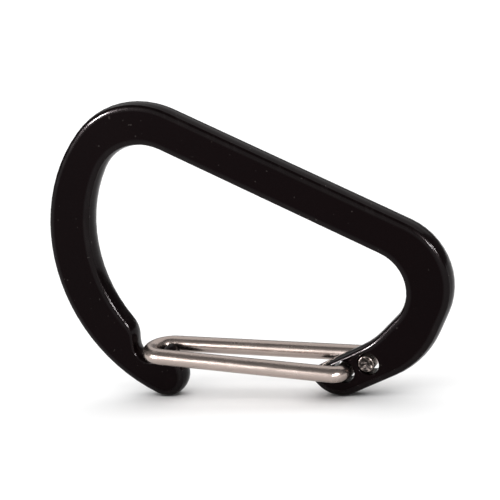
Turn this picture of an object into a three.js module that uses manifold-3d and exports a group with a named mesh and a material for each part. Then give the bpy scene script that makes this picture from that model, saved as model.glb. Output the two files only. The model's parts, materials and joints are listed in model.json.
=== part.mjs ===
// Wire-gate keyring carabiner, in millimetres with +Z up. The flat body stands upright in the XZ plane,
// its front face towards -Y, on its nose and its hinge end. The origin is at the bottom centre of the body.
// The gate is one bent wire. Its two legs pass on either side of the body and its ends turn into two separate
// holes, so the wire twists as it opens and springs shut. Here it is two halves that meet in the nose loop.
import * as THREE from 'three';
import { mergeVertices } from 'three/addons/utils/BufferGeometryUtils.js';
import Module from 'manifold-3d';

const wasm = await Module();
wasm.setup();

// Overall sizes of the body
const bodyLength = 62;
const bodyHeight = 44.8;
const plateThickness = 3;
const edgeChamfer = 0.35;

// Width of the bar along the straight spine, at the far left of the basket and at the far right of the bend
const spineWidth = 6.1;
const basketWidth = 7.2;
const bendWidth = 6.8;

// Basket, the wide end at the left: the rounded corner at its top, outside and inside
const topRadius = 13.4;
const topInset = 17.2;
const innerTopRadius = 8;
const innerTopInset = 17.4;

// Nose, the lobe that the gate closes on, and the seat beside it that the gate's loop drops into
const noseRadius = 3.5;
const noseInset = 15.3;
const seatInset = 13.55;
const seatFloorHeight = 5.85;
const beakRadius = 0.7;
const beakDrop = 0.92;
const shoulderRadius = 4;
const shoulderRise = 1.75;

// Bend, heel and hinge end, at the right
const bendRadius = 9.7;
const bendHeight = 16.7;
const innerBendRadius = 5.55;
const heelRadius = 14.2;
const heelInset = 15.2;
const heelDrop = 0.5;
const innerHeelRadius = 11.5;
const innerHeelInset = 19;
const innerHeelRise = 2.1;
const hingeEndRadius = 4.7;
const hingeEndInset = 18.4;
const tipRadius = 1.2;
const tipAngle = THREE.MathUtils.degToRad(205);

// Hinge holes: the near leg turns into the first and the far leg into the second, farther from the nose
const nearHoleShift = 0.84;
const nearHoleDrop = 0.85;
const holeSpacing = 4.02;
const holeLineAngle = THREE.MathUtils.degToRad(16.3);

// Gate wire
const wireDiameter = 2.4;

// Clearances
const pinClearance = 0.4;
const pinWallGap = 0.1;
const legFaceGap = 0.1;
const loopSeatGap = 0.15;
const loopBeakGap = 0.15;
const loopSplitGap = 0.3;
const shortestStraight = 0.08;

// Fineness of the curves
const arcSag = 0.02;
const closestPoints = 0.02;
const wireSides = 14;
const bendStations = 8;
const legStations = 4;
const holeSides = 28;
const holeOvershoot = 1;

// Sizes that follow from the ones above
const left = -bodyLength / 2;
const right = bodyLength / 2;
const wireRadius = wireDiameter / 2;
const legOffset = plateThickness / 2 + legFaceGap + wireRadius;
const pinBendRadius = wireRadius + legFaceGap;
const holeRadius = wireRadius + pinClearance;

function fromPoint(point, distance, angle) {
  return new THREE.Vector2(point.x + distance * Math.cos(angle), point.y + distance * Math.sin(angle));
}

// A round of the outline. The outline is followed with the material on its right: turn is -1 where it bends
// clockwise round material, and +1 where it bends the other way round open space.
function round(x, z, radius, turn) {
  return { centre: new THREE.Vector2(x, z), radius, turn };
}

// The straight line that leaves one round and joins the next without a corner.
function tangentLine(from, to) {
  const across = to.centre.clone().sub(from.centre);
  const fromReach = from.turn * from.radius;
  const toReach = to.turn * to.radius;
  const lean = THREE.MathUtils.clamp((fromReach - toReach) / across.length(), -1, 1);
  const direction = across.angle() + Math.asin(lean);
  const outwards = new THREE.Vector2(-Math.sin(direction), Math.cos(direction));
  return {
    direction,
    outwards,
    start: from.centre.clone().addScaledVector(outwards, -fromReach),
    end: to.centre.clone().addScaledVector(outwards, -toReach),
  };
}

// The big round that touches the upright line at x and two rounds, one below and one above it.
function roundTouching(x, below, above, turn) {
  const rise = above.centre.y - below.centre.y;
  const climb = (radius, item) => {
    const inset = item.centre.x - x;
    const reach = item.turn * turn * item.radius;
    return Math.sqrt((inset - reach) * (2 * radius - reach - inset));
  };
  let small = rise / 2;
  let large = rise * rise;
  while (large - small > 1e-9) {
    const middle = (small + large) / 2;
    if (climb(middle, below) + climb(middle, above) < rise) small = middle;
    else large = middle;
  }
  return round(x + small, below.centre.y + climb(small, below), small, turn);
}

// The point list of a closed outline that runs over each round in turn, as a belt runs over pulleys.
function outlineOver(rounds) {
  const count = rounds.length;
  const lines = rounds.map((item, i) => tangentLine(item, rounds[(i + 1) % count]));
  const points = [];
  rounds.forEach((item, i) => {
    const arriving = lines[(i + count - 1) % count];
    const bend = item.turn * (lines[i].direction - arriving.direction);
    const sweep = THREE.MathUtils.euclideanModulo(bend, 2 * Math.PI);
    const start = arriving.end.clone().sub(item.centre).angle();
    const chord = 2 * Math.acos(1 - arcSag / item.radius);
    const steps = Math.max(1, Math.ceil(sweep / chord));
    for (let k = 0; k <= steps; k += 1) {
      points.push(fromPoint(item.centre, item.radius, start + item.turn * sweep * k / steps));
    }
  });
  return points.filter((point, i) => point.distanceTo(points[(i + 1) % points.length]) > closestPoints);
}

// The seat is a round notch. Its floor lies just under the loop, and at the loop's height it is wide enough
// for the loop's curved inside to clear the chamfered beak where the legs reach the faces of the plate.
function seatRound() {
  const loopInside = legOffset - wireRadius;
  const loopReach = legOffset - Math.sqrt(loopInside ** 2 - (plateThickness / 2) ** 2);
  const halfWidth = loopReach - edgeChamfer + loopBeakGap;
  const depth = wireRadius + loopSeatGap;
  const radius = (halfWidth ** 2 + depth ** 2) / (2 * depth);
  return round(left + seatInset, seatFloorHeight + radius, radius, 1);
}

// A small round of material beside the seat, raised above it or dropped, with a short line between them.
function besideSeat(seat, radius, rise, side) {
  const distance = seat.radius + radius + shortestStraight;
  const x = seat.centre.x + side * Math.sqrt(distance ** 2 - rise ** 2);
  return round(x, seat.centre.y + rise, radius, -1);
}

const seat = seatRound();
const hingeEnd = round(right - hingeEndInset, hingeEndRadius, hingeEndRadius, -1);
const nearHole = new THREE.Vector2(hingeEnd.centre.x + nearHoleShift, hingeEnd.centre.y - nearHoleDrop);
const farHole = fromPoint(nearHole, holeSpacing, holeLineAngle);
const nearPin = nearHole;
const farPin = farHole.clone().sub(new THREE.Vector2(pinClearance - pinWallGap, 0));
const loopMiddle = new THREE.Vector2(seat.centre.x, seatFloorHeight + loopSeatGap + wireRadius);

function bodyOutline() {
  const nose = round(left + noseInset, noseRadius, noseRadius, -1);
  const top = round(left + topInset, bodyHeight - topRadius, topRadius, -1);
  const basket = roundTouching(left, nose, top, -1);
  const bend = round(right - bendRadius, bendHeight, bendRadius, -1);
  const heel = round(right - heelInset, bendHeight - heelDrop, heelRadius, -1);
  const tipCentre = fromPoint(hingeEnd.centre, hingeEndRadius - tipRadius + shortestStraight, tipAngle);
  const tip = round(tipCentre.x, tipCentre.y, tipRadius, -1);

  // The inside of the spine runs beside its outside, and both inner corners touch it.
  const spine = tangentLine(top, bend);
  const innerSpine = spine.start.dot(spine.outwards) - spineWidth;
  const underSpine = (x, radius) => {
    const z = (innerSpine - radius - spine.outwards.x * x) / spine.outwards.y;
    return round(x, z, radius, 1);
  };
  const innerBend = underSpine(right - bendWidth - innerBendRadius, innerBendRadius);
  const innerTop = underSpine(left + innerTopInset, innerTopRadius);
  const innerHeel = round(right - innerHeelInset, innerBend.centre.y + innerHeelRise, innerHeelRadius, 1);

  const beak = besideSeat(seat, beakRadius, -beakDrop, 1);
  const shoulder = besideSeat(seat, shoulderRadius, shoulderRise, -1);
  const innerBasket = roundTouching(left + basketWidth, shoulder, innerTop, 1);

  return outlineOver([
    nose, basket, top, bend, heel, hingeEnd, tip,
    innerHeel, innerBend, innerTop, innerBasket, shoulder, seat, beak,
  ]);
}

function solidOf(geometry) {
  geometry.deleteAttribute('normal');
  geometry.deleteAttribute('uv');
  const merged = mergeVertices(geometry);
  return new wasm.Manifold(new wasm.Mesh({
    numProp: 3,
    vertProperties: new Float32Array(merged.attributes.position.array),
    triVerts: new Uint32Array(merged.index.array),
  }));
}

function geometryOf(solid) {
  const mesh = solid.getMesh();
  const geometry = new THREE.BufferGeometry();
  geometry.setAttribute('position', new THREE.BufferAttribute(mesh.vertProperties, 3));
  geometry.setIndex(new THREE.BufferAttribute(mesh.triVerts, 1));
  geometry.computeVertexNormals();
  return geometry;
}

function carabinerBody() {
  const flatDepth = plateThickness - 2 * edgeChamfer;
  const plate = new THREE.ExtrudeGeometry(new THREE.Shape(bodyOutline()), {
    depth: flatDepth,
    bevelThickness: edgeChamfer,
    bevelSize: edgeChamfer,
    bevelOffset: -edgeChamfer,
    bevelSegments: 1,
  });
  plate.rotateX(Math.PI / 2);
  plate.translate(0, flatDepth / 2, 0);
  const drill = (hole) => {
    const length = plateThickness + 2 * holeOvershoot;
    const pillar = new THREE.CylinderGeometry(holeRadius, holeRadius, length, holeSides);
    return solidOf(pillar.translate(hole.x, 0, hole.y));
  };
  return geometryOf(solidOf(plate).subtract(drill(nearHole)).subtract(drill(farHole)));
}

// A bend of the wire: part of a circle that starts at the centre plus one direction and turns to the other.
class Bend extends THREE.Curve {
  constructor(centre, radius, startDirection, endDirection, angle) {
    super();
    Object.assign(this, { centre, radius, startDirection, endDirection, angle });
  }

  getPoint(t) {
    const turned = t * this.angle;
    return this.centre.clone()
      .addScaledVector(this.startDirection, this.radius * Math.cos(turned))
      .addScaledVector(this.endDirection, this.radius * Math.sin(turned));
  }
}

// A wire's route through several curves, with a number of stations along each.
class Route extends THREE.Curve {
  constructor(sections) {
    super();
    this.sections = sections;
    this.stations = sections.reduce((sum, section) => sum + section.stations, 0);
  }

  sectionAt(t) {
    let passed = t * this.stations;
    let index = 0;
    while (index < this.sections.length - 1 && passed >= this.sections[index].stations) {
      passed -= this.sections[index].stations;
      index += 1;
    }
    return { curve: this.sections[index].curve, t: Math.min(1, passed / this.sections[index].stations) };
  }

  getPointAt(t) {
    const place = this.sectionAt(t);
    return place.curve.getPoint(place.t);
  }

  getTangentAt(t) {
    const place = this.sectionAt(t);
    return place.curve.getTangent(place.t);
  }
}

// One half of the gate wire, from the end in its hole to the middle of the nose loop, in a frame whose
// origin is the middle of the loop. Side is -1 in front of the body and +1 behind it.
function gateWireHalf(pin, side) {
  const outward = new THREE.Vector3(0, side, 0);
  const pinPoint = new THREE.Vector3(pin.x - loopMiddle.x, 0, pin.y - loopMiddle.y);
  const pinsMiddle = nearPin.clone().add(farPin).multiplyScalar(0.5);
  const noseWay = new THREE.Vector3(loopMiddle.x - pinsMiddle.x, 0, loopMiddle.y - pinsMiddle.y).normalize();
  const loopCentre = noseWay.clone().multiplyScalar(-legOffset);
  const legWay = loopCentre.clone().sub(pinPoint).normalize();

  const pinEnd = pinPoint.clone().addScaledVector(outward, -plateThickness / 2);
  const pinRoot = pinPoint.clone().addScaledVector(outward, legOffset - pinBendRadius);
  const bendCentre = pinRoot.clone().addScaledVector(legWay, pinBendRadius);
  const legStart = bendCentre.clone().addScaledVector(outward, pinBendRadius);
  const legEnd = loopCentre.clone().addScaledVector(outward, legOffset);
  const loopAngle = Math.acos(loopSplitGap / 2 / legOffset);

  const route = new Route([
    { curve: new THREE.LineCurve3(pinEnd, pinRoot), stations: 1 },
    {
      curve: new Bend(bendCentre, pinBendRadius, legWay.clone().negate(), outward, Math.PI / 2),
      stations: bendStations,
    },
    { curve: new THREE.LineCurve3(legStart, legEnd), stations: legStations },
    { curve: new Bend(loopCentre, legOffset, outward, noseWay, loopAngle), stations: bendStations },
  ]);
  const section = new THREE.Shape().absarc(0, 0, wireRadius, 0, 2 * Math.PI);
  return new THREE.ExtrudeGeometry(section, {
    steps: route.stations,
    curveSegments: wireSides / 2,
    bevelEnabled: false,
    extrudePath: route,
  });
}

function named(name, geometry, material) {
  const mesh = new THREE.Mesh(geometry, material);
  mesh.name = name;
  return mesh;
}

const anodised = new THREE.MeshStandardMaterial({ color: 0x141112, roughness: 0.3, metalness: 0.6 });
const steel = new THREE.MeshStandardMaterial({ color: 0xa89b92, roughness: 0.35, metalness: 1 });

const carabiner = new THREE.Group();
carabiner.add(named('carabiner_body', carabinerBody(), anodised));

const gate = new THREE.Group();
gate.position.set(loopMiddle.x, 0, loopMiddle.y);
gate.add(named('gate_wire_near_leg', gateWireHalf(nearPin, -1), steel));
gate.add(named('gate_wire_far_leg', gateWireHalf(farPin, 1), steel));
carabiner.add(gate);

export default carabiner;
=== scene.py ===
# Looks for a small wire-gate carabiner: black anodised plate body, drawn steel wire gate.
import json
import math

import bmesh
import bpy
from mathutils import Matrix, Vector, noise

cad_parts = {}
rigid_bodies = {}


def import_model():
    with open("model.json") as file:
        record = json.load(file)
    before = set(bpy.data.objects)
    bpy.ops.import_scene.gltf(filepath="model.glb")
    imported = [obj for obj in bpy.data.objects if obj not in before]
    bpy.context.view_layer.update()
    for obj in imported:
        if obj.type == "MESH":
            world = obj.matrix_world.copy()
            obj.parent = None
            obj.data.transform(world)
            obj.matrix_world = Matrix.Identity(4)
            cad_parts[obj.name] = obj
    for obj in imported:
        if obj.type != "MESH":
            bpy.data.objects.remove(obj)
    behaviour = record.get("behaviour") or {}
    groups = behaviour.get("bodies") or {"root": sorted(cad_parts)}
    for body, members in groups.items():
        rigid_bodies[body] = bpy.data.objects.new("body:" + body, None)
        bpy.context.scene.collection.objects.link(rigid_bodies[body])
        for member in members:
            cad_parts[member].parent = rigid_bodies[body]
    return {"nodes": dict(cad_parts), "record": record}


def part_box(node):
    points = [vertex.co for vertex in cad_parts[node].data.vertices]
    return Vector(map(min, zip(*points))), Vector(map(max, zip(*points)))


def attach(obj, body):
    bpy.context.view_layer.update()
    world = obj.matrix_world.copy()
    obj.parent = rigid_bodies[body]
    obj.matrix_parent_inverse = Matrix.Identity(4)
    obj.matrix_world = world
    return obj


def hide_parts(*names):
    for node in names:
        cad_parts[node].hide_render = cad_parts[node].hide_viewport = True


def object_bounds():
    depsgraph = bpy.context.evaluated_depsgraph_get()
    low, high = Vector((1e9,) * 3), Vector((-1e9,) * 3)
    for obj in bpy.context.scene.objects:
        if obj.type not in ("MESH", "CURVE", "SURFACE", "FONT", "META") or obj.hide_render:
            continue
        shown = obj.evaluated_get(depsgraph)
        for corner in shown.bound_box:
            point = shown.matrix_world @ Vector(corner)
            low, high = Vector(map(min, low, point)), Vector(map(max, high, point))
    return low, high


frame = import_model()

mm = 0.001
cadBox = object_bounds()
joints = {joint["name"]: joint for joint in frame["record"]["behaviour"]["joints"]}


def addObject(name, bm, material):
    mesh = bpy.data.meshes.new(name)
    bm.to_mesh(mesh)
    bm.free()
    mesh.materials.append(material)
    piece = bpy.data.objects.new(name, mesh)
    bpy.context.scene.collection.objects.link(piece)
    return piece


def allOf(bm):
    return bm.verts[:] + bm.edges[:] + bm.faces[:]


def smoothstep(value, low, high):
    t = min(1, max(0, (value - low) / (high - low)))
    return t * t * (3 - 2 * t)


# Shader maths: a socket that can be added to, multiplied and mixed like a number.
class Socket:
    def __init__(self, tree, socket):
        self.tree = tree
        self.socket = socket

    def math(self, operation, *values):
        return self.tree.node("ShaderNodeMath", {"operation": operation}, dict(enumerate(values)))

    def __add__(self, other):
        return self.math("ADD", self, other)

    def __radd__(self, other):
        return self.math("ADD", other, self)

    def __sub__(self, other):
        return self.math("SUBTRACT", self, other)

    def __rsub__(self, other):
        return self.math("SUBTRACT", other, self)

    def __mul__(self, other):
        return self.math("MULTIPLY", self, other)

    def __rmul__(self, other):
        return self.math("MULTIPLY", other, self)

    def clamped(self):
        return self.tree.node("ShaderNodeClamp", {}, {0: self})


class Tree:
    def __init__(self, name):
        self.material = bpy.data.materials.new(name)
        self.material.use_nodes = True
        self.nodes = self.material.node_tree.nodes
        self.links = self.material.node_tree.links
        self.nodes.clear()

    # A node by type, its settings first and then the values or links of its sockets.
    def node(self, kind, settings, values, output=0):
        made = self.nodes.new(kind)
        for key, value in settings.items():
            if key == "stops":
                elements = made.color_ramp.elements
                for element, (place, colour) in zip(elements, value):
                    element.position = place
                    element.color = (*colour, 1)
            else:
                setattr(made, key, value)
        for key, value in values.items():
            if isinstance(value, Socket):
                self.links.new(value.socket, made.inputs[key])
            else:
                made.inputs[key].default_value = value
        return Socket(self, made.outputs[output])

    def objectPoint(self, scale=(1, 1, 1)):
        point = self.node("ShaderNodeTexCoord", {}, {}, "Object")
        return self.node("ShaderNodeMapping", {}, {"Vector": point, "Scale": scale})

    def noise(self, point, scale, detail=2.0, roughness=0.5):
        values = {"Vector": point, "Scale": scale, "Detail": detail, "Roughness": roughness}
        return self.node("ShaderNodeTexNoise", {}, values, "Fac")

    # Two stops, from one colour to the other.
    def ramp(self, factor, places, colours):
        return self.node("ShaderNodeValToRGB", {"stops": list(zip(places, colours))}, {0: factor}, "Color")

    def mixColour(self, factor, *colours):
        first, second = (item if isinstance(item, Socket) else (*item, 1) for item in colours)
        return self.node("ShaderNodeMix", {"data_type": "RGBA"}, {0: factor, 6: first, 7: second}, 2)

    def attribute(self, name):
        return self.node("ShaderNodeAttribute", {"attribute_name": name}, {}, "Fac")

    def bump(self, height, strength, distance, before=None):
        values = {"Height": height, "Strength": strength, "Distance": distance}
        if before is not None:
            values["Normal"] = before
        return self.node("ShaderNodeBump", {}, values, "Normal")

    def finish(self, values):
        shader = self.node("ShaderNodeBsdfPrincipled", {}, values)
        self.links.new(shader.socket, self.nodes.new("ShaderNodeOutputMaterial").inputs["Surface"])
        return self.material


dark, light = (0, 0, 0), (1, 1, 1)

anodisedLook = {
    "black": (0.0020, 0.0010, 0.0012),
    "brown": (0.0036, 0.0013, 0.0015),
    "cloudScale": 90,
    # Lighter colour for the walls and rolled edges: partly wear, partly a painted highlight along the
    # edges.
    "edgeWearAndHighlight": (0.010, 0.008, 0.008),
    "edgeWearAndHighlightStrength": 0.6,
    "scuffScale": 900,
    "scuffStretch": (1, 1, 0.2),
    "scuffRange": (0.5, 0.75),
    "dust": (0.035, 0.03, 0.028),
    "dustScale": 1500,
    "dustRange": (0.745, 0.775),
    "faceGloss": 0.05,
    "sheen": (0.86, 0.66, 0.70),
    "edgeGloss": 0.16,
    "edgeRoughness": 0.12,
    "roughness": 0.2,
    "roughnessByCloud": 0.05,
    "roughnessByGrain": 0.06,
    "roughnessByWear": 0.1,
    "grainScale": 2600,
    "grainBump": 0.012,
    "grainDepth": 0.02 * mm,
}


def anodisedBlack():
    look = anodisedLook
    tree = Tree("anodised_black")
    point = tree.objectPoint()
    clouds = tree.noise(point, look["cloudScale"], 4)
    grain = tree.noise(point, look["grainScale"], 2)
    colour = tree.mixColour(clouds, look["black"], look["brown"])

    # Edges and side walls turn lighter in scuffed patches: partly wear, partly a painted highlight along
    # the edges.
    edge = tree.attribute("edge")
    scuffs = tree.noise(tree.objectPoint(look["scuffStretch"]), look["scuffScale"], 4, 0.7)
    low, high = look["scuffRange"]
    worn = tree.node("ShaderNodeMapRange", {}, {"Value": scuffs, "From Min": low, "From Max": high})
    wearAndHighlight = (edge * worn).clamped()
    colour = tree.mixColour(wearAndHighlight * look["edgeWearAndHighlightStrength"], colour, look["edgeWearAndHighlight"])

    specks = tree.ramp(tree.noise(point, look["dustScale"], 1), look["dustRange"], (dark, light))
    colour = tree.mixColour(specks, colour, look["dust"])
    rough = (look["roughness"] + look["roughnessByCloud"] * (clouds - 0.5)
             + look["roughnessByGrain"] * (grain - 0.5) + look["roughnessByWear"] * wearAndHighlight)
    return tree.finish({
        "Base Color": colour,
        "Roughness": rough,
        "Normal": tree.bump(grain, look["grainBump"], look["grainDepth"]),
        "IOR": 1.5,
        "Specular IOR Level": look["faceGloss"],
        "Specular Tint": (*look["sheen"], 1),
        "Coat Weight": edge * look["edgeGloss"],
        "Coat Roughness": look["edgeRoughness"],
    })


wireLook = {
    "bright": (0.47, 0.395, 0.36),
    "dull": (0.36, 0.295, 0.265),
    "streakStretch": (60, 2400, 2400),
    "streakShare": 0.6,
    "streakBump": 0.12,
    "streakDepth": 0.03 * mm,
    "cloudScale": 260,
    "cloudShare": 0.4,
    "roughness": 0.26,
    "roughnessByStreak": 0.12,
    "roughnessByCloud": 0.12,
    "roughnessOfCut": 0.15,
    "pits": (0.02, 0.017, 0.016),
    "pitScale": 2200,
    "pitRange": (0.42, 0.56),
    "cutDarkness": 0.82,
    "nickScale": 3000,
    "nickBump": 0.3,
    "nickDepth": 0.05 * mm,
    "nicksOutsideCut": 0.2,
}


def drawnSteel():
    look = wireLook
    tree = Tree("drawn_steel")
    point = tree.objectPoint()
    streaks = tree.noise(tree.objectPoint(look["streakStretch"]), 1, 3, 0.6)
    clouds = tree.noise(point, look["cloudScale"], 4, 0.6)
    nicks = tree.noise(point, look["nickScale"], 2)
    bright = (streaks * look["streakShare"] + clouds * look["cloudShare"]).clamped()
    colour = tree.mixColour(bright, look["dull"], look["bright"])
    rough = (look["roughness"] + look["roughnessByStreak"] * (streaks - 0.5)
             + look["roughnessByCloud"] * (clouds - 0.5))

    # The sheared ends are darker, rougher and pitted.
    cut = tree.attribute("cut")
    pits = tree.ramp(tree.noise(point, look["pitScale"], 3, 0.6), look["pitRange"], (light, dark))
    colour = tree.mixColour((cut * (look["cutDarkness"] + pits)).clamped(), colour, look["pits"])
    bumpy = tree.bump(streaks, look["streakBump"], look["streakDepth"])
    bumpy = tree.bump(nicks * (look["nicksOutsideCut"] + cut), look["nickBump"], look["nickDepth"], bumpy)
    return tree.finish({
        "Base Color": colour,
        "Metallic": 1.0,
        "Roughness": (rough + look["roughnessOfCut"] * cut).clamped(),
        "Normal": bumpy,
    })


# Edge width and wall crown together stay under the radius of the hinge end's tip, 1.2 mm.
bodyShape = {
    "edgeWidth": 0.95 * mm,
    "edgeWidthAtBeak": 0.4 * mm,
    "beakZone": (2.6 * mm, 6.0 * mm),
    "edgeDepth": 0.38 * mm,
    "edgeSteps": 9,
    "wallCrown": 0.2 * mm,
    "wallSteps": 5,
    "wallGloss": 0.8,
    "edgeGlossSteps": 2,
    "faceWeight": 80,
    "holeFlare": 0.12 * mm,
    "holeRound": 0.1 * mm,
    "holeRoundSteps": 4,
    "holeSides": 64,
    "cutterOvershoot": 1 * mm,
}
mergeWithin = 0.001 * mm
sectionMergeWithin = 0.002 * mm
mirrorMergeWithin = 0.01 * mm
straightWithin = math.radians(0.4)
endWithin = 0.01 * mm


# The body's outline and its holes, cut from the middle of the plate.
def middleSection(node):
    bm = bmesh.new()
    bm.from_mesh(frame["nodes"][node].data)
    bmesh.ops.remove_doubles(bm, verts=bm.verts[:], dist=mergeWithin)
    bmesh.ops.bisect_plane(bm, geom=allOf(bm), plane_co=(0, 0, 0), plane_no=(0, 1, 0),
                           clear_inner=True, clear_outer=True)
    bmesh.ops.remove_doubles(bm, verts=bm.verts[:], dist=sectionMergeWithin)
    bmesh.ops.dissolve_limit(bm, angle_limit=straightWithin, verts=bm.verts[:], edges=bm.edges[:])
    return bm


# The closed loops of a section, the one with the most points first.
def loopsOf(bm):
    seen = set()
    loops = []
    for start in bm.verts:
        loop, front = [], [start]
        while front:
            vert = front.pop()
            if vert not in seen:
                seen.add(vert)
                loop.append(vert)
                front += [edge.other_vert(vert) for edge in vert.link_edges]
        if loop:
            loops.append(loop)
    return sorted(loops, key=len, reverse=True)


# A cutter for one hinge hole: straight in the plate, and flared at both faces.
def holeCutter(centre, radius, halfThickness):
    shape = bodyShape
    flare = shape["holeFlare"]
    wide = radius + flare + shape["cutterOvershoot"]
    end = halfThickness + shape["cutterOvershoot"]
    mouth = halfThickness - flare
    profile = [(0, -end), (wide, -end), (radius, -mouth), (radius, mouth), (wide, end), (0, end)]
    bm = bmesh.new()
    verts = [bm.verts.new((centre.x + r, y, centre.z)) for r, y in profile]
    for pair in zip(verts, verts[1:]):
        bm.edges.new(pair)
    bmesh.ops.bevel(bm, geom=[verts[2], verts[3]], offset=shape["holeRound"], offset_type="OFFSET",
                    segments=shape["holeRoundSteps"], profile=0.5, affect="VERTICES", material=-1)
    bmesh.ops.spin(bm, geom=bm.verts[:] + bm.edges[:], cent=centre, axis=(0, 1, 0), angle=2 * math.pi,
                   steps=shape["holeSides"], use_merge=True)
    bmesh.ops.remove_doubles(bm, verts=bm.verts[:], dist=mergeWithin)
    bmesh.ops.recalc_face_normals(bm, faces=bm.faces[:])
    mesh = bpy.data.meshes.new("hole_cutter")
    bm.to_mesh(mesh)
    bm.free()
    cutter = bpy.data.objects.new("hole_cutter", mesh)
    bpy.context.scene.collection.objects.link(cutter)
    return cutter


# The side wall is slightly crowned, so it is raised in steps that lean in more and more.
def raiseWall(bm, face, height):
    steps = bodyShape["wallSteps"]
    for step in range(steps):
        lean = bodyShape["wallCrown"] * ((step + 1) ** 2 - step ** 2) / steps ** 2
        bmesh.ops.inset_region(bm, faces=[face], thickness=lean, depth=height / steps, use_boundary=True,
                               use_even_offset=True)


# The edge rolls over from the wall to the face in a quarter of an ellipse, narrow at the beak and wider
# away from it. The edge attribute is 1 on it and 0 where it meets the face.
def rollEdge(bm, face, beak, edgeLayer):
    shape = bodyShape
    steps = shape["edgeSteps"]
    for step in range(steps):
        before, after = (math.radians(90 * (step + part) / steps) for part in (0, 1))
        width = shape["edgeWidthAtBeak"] * (math.cos(before) - math.cos(after))
        depth = shape["edgeDepth"] * (math.sin(after) - math.sin(before))
        bmesh.ops.inset_region(bm, faces=[face], thickness=width, depth=depth, use_boundary=True,
                               use_even_offset=True)
    for inner in face.verts[:]:
        chain = [inner]
        for _ in range(steps):
            around = (edge.other_vert(chain[-1]) for edge in chain[-1].link_edges)
            chain.append(max(around, key=lambda vert: vert.co.y))
        root = chain[-1].co.copy()
        share = smoothstep((root - beak).length, *shape["beakZone"])
        widen = share * (shape["edgeWidth"] / shape["edgeWidthAtBeak"] - 1)
        for place, vert in enumerate(chain):
            vert.co.x += (vert.co.x - root.x) * widen
            vert.co.z += (vert.co.z - root.z) * widen
            vert[edgeLayer] = min(1, place / shape["edgeGlossSteps"])


# The cut leaves points and faces in an order that varies, so both are put in order of place.
def putInOrder(mesh):
    bm = bmesh.new()
    bm.from_mesh(mesh)
    middleOf = bmesh.types.BMFace.calc_center_median
    for items, placeOf in ((bm.verts, lambda vert: vert.co), (bm.faces, middleOf)):
        ranked = sorted(items, key=lambda item: placeOf(item).to_tuple(9))
        ranks = {item: rank for rank, item in enumerate(ranked)}
        items.sort(key=lambda item: ranks[item])
    bm.to_mesh(mesh)
    bm.free()


def cutHoles(body, holes, halfThickness):
    cutters = [holeCutter(centre, radius, halfThickness) for centre, radius in holes]
    for cutter in cutters:
        cut = body.modifiers.new("hole", "BOOLEAN")
        cut.object = cutter
        cut.operation = "DIFFERENCE"
        cut.solver = "EXACT"
    drilled = bpy.data.meshes.new_from_object(body.evaluated_get(bpy.context.evaluated_depsgraph_get()))
    if not drilled.polygons:
        raise RuntimeError("the edge folds over itself: make wallCrown or edgeWidth smaller")
    putInOrder(drilled)
    body.modifiers.clear()
    body.data = drilled
    for cutter in cutters:
        bpy.data.objects.remove(cutter)


def makeBody(material):
    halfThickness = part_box("carabiner_body")[1].y
    bm = middleSection("carabiner_body")
    holes = []
    for loop in loopsOf(bm)[1:]:
        centre = sum((vert.co for vert in loop), Vector()) / len(loop)
        holes.append((centre, max((vert.co - centre).length for vert in loop)))
        bmesh.ops.delete(bm, geom=loop, context="VERTS")

    # The front half is raised from the outline, and the back half mirrors it.
    front = bmesh.ops.contextual_create(bm, geom=bm.edges[:])["faces"][0]
    if front.normal.y > 0:
        bmesh.ops.reverse_faces(bm, faces=[front])
    edgeLayer = bm.verts.layers.float.new("edge")
    raiseWall(bm, front, halfThickness - bodyShape["edgeDepth"])
    for vert in bm.verts:
        vert[edgeLayer] = bodyShape["wallGloss"]
    rollEdge(bm, front, Vector(joints["gate_twist"]["pos_m"]), edgeLayer)
    bmesh.ops.mirror(bm, geom=allOf(bm), matrix=Matrix.Identity(4), merge_dist=mirrorMergeWithin, axis="Y")
    bmesh.ops.recalc_face_normals(bm, faces=bm.faces[:])

    body = addObject("anodised_body", bm, material)
    cutHoles(body, holes, halfThickness)
    for polygon in body.data.polygons:
        polygon.use_smooth = True
    weighted = body.modifiers.new("even_faces", "WEIGHTED_NORMAL")
    weighted.keep_sharp = True
    weighted.weight = bodyShape["faceWeight"]
    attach(body, "body")
    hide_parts("carabiner_body")
    print("body:", len(body.data.polygons), "faces, holes", len(holes))


wireShape = {
    "sides": 40,
    "legSteps": 24,
    "bendSteps": 14,
    "noseBendSteps": 28,
    "cutRings": 5,
    "cutInset": 0.98,
    "cutRough": 0.09 * mm,
    "cutGrain": (0.45 * mm, 0.18 * mm),
    "cutDish": 0.02 * mm,
    "endRound": 0.14 * mm,
    "endRoundSteps": 3,
}


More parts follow.
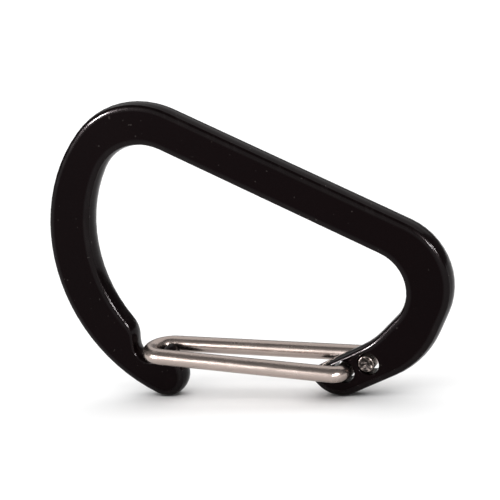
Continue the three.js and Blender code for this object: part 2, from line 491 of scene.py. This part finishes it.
# A ring of wire that is pushed straight or swung round a bend, leaving wire behind it.
class WireMaker:
    def __init__(self, centre, facing, radius):
        self.bm = bmesh.new()
        self.cutLayer = self.bm.verts.layers.float.new("cut")
        turn = Vector((0, 0, 1)).rotation_difference(facing).to_matrix().to_4x4()
        made = bmesh.ops.create_circle(self.bm, segments=wireShape["sides"], radius=radius,
                                       matrix=Matrix.Translation(centre) @ turn)
        self.radius = radius
        self.ring = made["verts"]

    def ringEdges(self):
        ring = set(self.ring)
        return [edge for edge in self.bm.edges if edge.verts[0] in ring and edge.verts[1] in ring]

    def moveTo(self, made):
        self.ring = [item for item in made if isinstance(item, bmesh.types.BMVert)]

    def push(self, vector, steps=1):
        for _ in range(steps):
            self.moveTo(bmesh.ops.extrude_edge_only(self.bm, edges=self.ringEdges())["geom"])
            bmesh.ops.translate(self.bm, verts=self.ring, vec=vector / steps)

    def bend(self, centre, axis, steps):
        self.moveTo(bmesh.ops.spin(self.bm, geom=self.ring + self.ringEdges(), cent=centre, axis=axis,
                                   angle=math.pi / 2, steps=steps)["geom_last"])

    # A plain flat end, where the two halves of the wire meet.
    def cap(self):
        rim = self.ringEdges()
        bmesh.ops.contextual_create(self.bm, geom=rim)
        for edge in rim:
            edge.smooth = False

    # A sheared end: a rounded rim and a rough, slightly dished face.
    def cutEnd(self, facing):
        shape = wireShape
        coarse, fine = shape["cutGrain"]
        face = bmesh.ops.contextual_create(self.bm, geom=self.ringEdges())["faces"][0]
        rim = face.edges[:]
        step = self.radius / (shape["cutRings"] + 1)
        for index in range(shape["cutRings"]):
            bmesh.ops.inset_region(self.bm, faces=[face], thickness=step * shape["cutInset"],
                                   use_even_offset=True)
            for vert in face.verts:
                bite = noise.noise(vert.co / coarse) + 0.5 * noise.noise(vert.co / fine)
                vert.co += facing * (bite * shape["cutRough"] - shape["cutDish"] * index)
                vert[self.cutLayer] = 1
        bmesh.ops.poke(self.bm, faces=[face])
        bmesh.ops.bevel(self.bm, geom=rim, offset=shape["endRound"], offset_type="OFFSET",
                        segments=shape["endRoundSteps"], profile=0.5, affect="EDGES", material=-1,
                        clamp_overlap=True)

    def object(self, name, material):
        bmesh.ops.recalc_face_normals(self.bm, faces=self.bm.faces[:])
        for face in self.bm.faces:
            face.smooth = len(face.verts) <= 4
        return addObject(name, self.bm, material)


# The middle of a pin, from the cut end of the plain wire.
def pinCentre(node, side):
    points = [vert.co for vert in frame["nodes"][node].data.vertices]
    reach = min(side * point.y for point in points)
    end = [point for point in points if side * point.y < reach + endWithin]
    across, up = [point.x for point in end], [point.z for point in end]
    return Vector(((min(across) + max(across)) / 2, 0, (min(up) + max(up)) / 2))


def makeGate(material):
    middle = Vector(joints["gate_twist"]["pos_m"])
    halves = (
        ("near_half", "gate_near", "gate_wire_near_leg", -1),
        ("far_half", "gate_far", "gate_wire_far_leg", 1),
    )
    for name, body, node, side in halves:
        low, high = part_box(node)
        out = Vector((0, side, 0))
        radius = middle.x - low.x
        legOffset = max(-low.y, high.y) - radius
        pinReach = min(-low.y, high.y)
        bendRadius = legOffset - pinReach
        pin = pinCentre(node, side)
        way = (middle - pin).normalized()
        axis = way.cross(out)

        # From the middle of the nose loop: a bend, the straight leg, a tight bend, and the pin in its hole.
        wire = WireMaker(middle, out, radius)
        wire.cap()
        noseCentre = middle - way * legOffset
        wire.bend(noseCentre, axis, wireShape["noseBendSteps"])
        heel = pin + way * bendRadius + out * legOffset
        wire.push(heel - (noseCentre + out * legOffset), wireShape["legSteps"])
        wire.bend(heel - out * bendRadius, axis, wireShape["bendSteps"])
        wire.push(-out * (legOffset - bendRadius + pinReach))
        wire.cutEnd(-out)
        piece = wire.object(name, material)
        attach(piece, body)
        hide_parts(node)
        print("gate %s: wire %.2f mm thick, leg %.2f mm out" % (name, 2 * radius / mm, legOffset / mm))


studio = {
    "azimuth": 26.36,
    "elevation": 14.32,
    "roll": 9.44,
    "distance": 230 * mm,
    "lens": 116,
    "sensorWidth": 36,
    "clipRange": (0.01, 20),
    "aim": (1.33 * mm, 0, -0.44 * mm),
    "floorHalfSize": 6,
    "floorColour": (0.9, 0.9, 0.9),
    "floorRoughness": 0.9,
}


def makeCamera():
    low, high = cadBox
    aim = (low + high) / 2 + Vector(studio["aim"])
    azimuth, elevation = math.radians(studio["azimuth"]), math.radians(studio["elevation"])
    back = Vector((math.sin(azimuth) * math.cos(elevation), -math.cos(azimuth) * math.cos(elevation),
                   math.sin(elevation)))
    data = bpy.data.cameras.new("camera")
    data.lens = studio["lens"]
    data.sensor_width = studio["sensorWidth"]
    data.clip_start, data.clip_end = studio["clipRange"]
    camera = bpy.data.objects.new("camera", data)
    bpy.context.scene.collection.objects.link(camera)
    place = Matrix.Translation(aim + back * studio["distance"])
    level = (-back).to_track_quat("-Z", "Y").to_matrix().to_4x4()
    camera.matrix_world = place @ level @ Matrix.Rotation(-math.radians(studio["roll"]), 4, "Z")
    bpy.context.scene.camera = camera


def makeFloor():
    material = Tree("studio_floor").finish({
        "Base Color": (*studio["floorColour"], 1),
        "Roughness": studio["floorRoughness"],
        "Specular IOR Level": 0.0,
    })
    bm = bmesh.new()
    bmesh.ops.create_grid(bm, x_segments=1, y_segments=1, size=studio["floorHalfSize"])
    bmesh.ops.translate(bm, verts=bm.verts[:], vec=(0, 0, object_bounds()[0].z))
    floor = addObject("studio_floor", bm, material)


# Softboxes that only show as reflections: place, size, brightness of the panel. All face the same point.
panels = {
    "front_panel": ((-0.42, -0.75, 0.22), (0.9, 0.42), 0.75),
    "top_panel": ((-0.1, 0.42, 0.62), (1.3, 0.9), 0.8),
    "left_strip": ((-0.39, -0.44, 0.14), (0.04, 0.07), 620),
    "right_strip": ((0.36, -0.46, 0.18), (0.04, 0.08), 330),
    "low_strip": ((0.16, -0.56, 0.10), (0.04, 0.06), 240),
}
studioLight = {
    "panelTarget": (0, 0, 0.02),
    "world": 0.2,
    "sky": 3.6,
    "skySoftness": 110,
    "skyPlace": (0, 0.1, 1),
}


def addLight(data, place, target):
    light = bpy.data.objects.new(data.name, data)
    light.location = place
    light.rotation_euler = (Vector(target) - Vector(place)).to_track_quat("-Z", "Y").to_euler()
    bpy.context.scene.collection.objects.link(light)
    return light


def makeLights():
    world = bpy.data.worlds.new("studio")
    world.use_nodes = True
    background = world.node_tree.nodes["Background"]
    background.inputs["Color"].default_value = (1, 1, 1, 1)
    background.inputs["Strength"].default_value = studioLight["world"]
    bpy.context.scene.world = world
    bpy.context.scene.view_settings.view_transform = "Standard"

    # The soft light from above whitens the floor and leaves no reflection.
    sky = bpy.data.lights.new("overhead_light", "SUN")
    sky.energy = studioLight["sky"]
    sky.angle = math.radians(studioLight["skySoftness"])
    addLight(sky, studioLight["skyPlace"], (0, 0, 0)).visible_glossy = False
    for name, (place, (width, height), glow) in panels.items():
        data = bpy.data.lights.new(name, "AREA")
        data.shape = "RECTANGLE"
        data.size, data.size_y = width, height
        data.energy = glow * math.pi * width * height
        addLight(data, place, studioLight["panelTarget"]).visible_diffuse = False


makeCamera()
blackFinish = anodisedBlack()
steelFinish = drawnSteel()
print("finishes: anodised black, drawn steel")
makeBody(blackFinish)
makeGate(steelFinish)
makeFloor()
makeLights()
print("studio: floor, overhead light and", len(panels), "panels")
